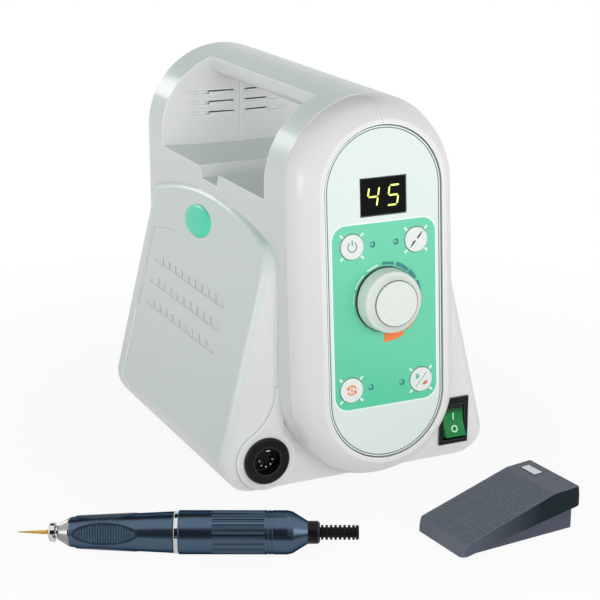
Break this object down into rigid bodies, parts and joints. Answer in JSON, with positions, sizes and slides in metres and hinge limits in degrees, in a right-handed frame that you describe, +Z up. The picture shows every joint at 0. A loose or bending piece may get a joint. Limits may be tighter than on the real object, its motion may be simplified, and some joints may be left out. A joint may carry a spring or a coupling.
{
  "type": "bench micromotor set",
  "caption": "Bench micromotor set for dental work: pearl white console with carrying handle, speed knob and display, slate handpiece with bur, and foot switch.",
  "frame": {"origin": "on the table, below the middle of the console's base", "axes": "+Z up, front panel faces -Y, +X to the right seen from the front"},
  "size_m": [0.286, 0.3177, 0.222],
  "materials": {
    "casing": "pearl white, glossy moulded plastic",
    "panel": "pale green white printed sheet",
    "badge": "sea green domed resin",
    "display": "black glossy window",
    "key": "white moulded keys",
    "knob": "warm white satin knob",
    "lamp": "clear lamps",
    "black": "black moulded plastic",
    "rubber": "black rubber",
    "rocker": "green translucent rocker",
    "steel": "bright steel",
    "chrome": "polished chrome",
    "gold": "gold coated",
    "slate": "slate blue satin coat",
    "grip": "slate blue dimpled rubber",
    "pedal": "slate grey moulded plastic",
    "board": "green circuit board",
    "iron": "varnished lamination stack",
    "copper": "enamelled copper winding under tape",
    "alu": "extruded aluminium",
    "part": "dark component housings"
  },
  "bodies": {
    "console": {"shell_left": "casing", "shell_right": "casing", "rubber_feet": "rubber", "shell_screws": "steel", "side_badge": "badge", "front_panel": "panel", "panel_overlay": "panel", "display_window": "display", "display_module": "part", "panel_board": "board", "tact_switches": "part", "indicator_lamps": "lamp", "potentiometer": "part", "handpiece_socket": "black", "socket_insert": "black", "socket_contacts": "gold", "switch_frame": "black", "rocker_pin": "steel", "mains_inlet": "black", "inlet_blades": "steel", "foot_jack": "black", "transformer_core": "iron", "transformer_winding": "copper", "main_board": "board", "heat_sink": "alu", "capacitors": "part"},
    "knob": {"speed_knob": "knob", "knob_cap": "knob", "pot_shaft": "steel"},
    "power_switch": {"power_rocker": "rocker"},
    "handpiece": {"motor_housing": "slate", "lock_ring": "chrome", "bearing_tube": "steel", "front_bearing": "steel", "rear_bearing": "steel", "stator": "copper", "end_cap": "slate", "cord_collar": "black", "cord_boot": "rubber"},
    "chuck_sleeve": {"front_sleeve": "slate", "grip_pads": "grip", "nose_cone": "steel"},
    "rotor": {"spindle": "steel", "rotor_magnet": "iron", "collet_nut": "chrome", "bur": "gold"},
    "foot_switch": {"pedal_base": "pedal", "pedal_pads": "rubber", "pedal_switch": "part", "pedal_spring": "steel", "cord_gland": "rubber"},
    "foot_plate": {"treadle": "pedal", "treadle_pin": "steel"},
    "run_button": {"run_key": "key"},
    "motor_button": {"motor_key": "key"},
    "direction_button": {"direction_key": "key"},
    "mode_button": {"mode_key": "key"}
  },
  "joints": [
    {"name": "knob_turn", "type": "hinge", "parent": "console", "child": "knob", "pos_m": [0, -0.12772, 0.11474], "axis": [0, -0.9978, 0.0663], "range_deg": [-290, 0]},
    {"name": "run_press", "type": "slide", "parent": "console", "child": "run_button", "axis": [0, 0.9978, -0.0663], "range_m": [0, 0.0004], "stiffness_N_per_m": 400, "springref_m": -0.0005},
    {"name": "motor_press", "type": "slide", "parent": "console", "child": "motor_button", "axis": [0, 0.9978, -0.0663], "range_m": [0, 0.0004], "stiffness_N_per_m": 400, "springref_m": -0.0005},
    {"name": "direction_press", "type": "slide", "parent": "console", "child": "direction_button", "axis": [0, 0.9978, -0.0663], "range_m": [0, 0.0004], "stiffness_N_per_m": 400, "springref_m": -0.0005},
    {"name": "mode_press", "type": "slide", "parent": "console", "child": "mode_button", "axis": [0, 0.9978, -0.0663], "range_m": [0, 0.0004], "stiffness_N_per_m": 400, "springref_m": -0.0005},
    {"name": "rocker_tilt", "type": "hinge", "parent": "console", "child": "power_switch", "pos_m": [0.0625, -0.092, 0.024], "axis": [1, 0, 0], "range_deg": [0, 18]},
    {"name": "handpiece_lift", "type": "slide", "parent": "console", "child": "handpiece", "axis": [0, 0, 1], "range_m": [0, 0.15]},
    {"name": "sleeve_twist", "type": "hinge", "parent": "handpiece", "child": "chuck_sleeve", "pos_m": [-0.13, -0.1455, 0.0113], "axis": [0.9033, -0.4289, 0], "range_deg": [0, 60]},
    {"name": "spindle_spin", "type": "hinge", "parent": "handpiece", "child": "rotor", "pos_m": [-0.13, -0.1455, 0.0113], "axis": [0.9033, -0.4289, 0], "continuous": true},
    {"name": "foot_switch_lift", "type": "slide", "parent": "console", "child": "foot_switch", "axis": [0, 0, 1], "range_m": [0, 0.1]},
    {"name": "foot_plate_press", "type": "hinge", "parent": "foot_switch", "child": "foot_plate", "pos_m": [0.00447, -0.19629, 0.0042], "axis": [-0.0941, 0.9956, 0], "range_deg": [0, 5], "stiffness_Nm_per_rad": 1.2, "springref_deg": -8.59, "deforming": ["pedal_spring"]}
  ]
}
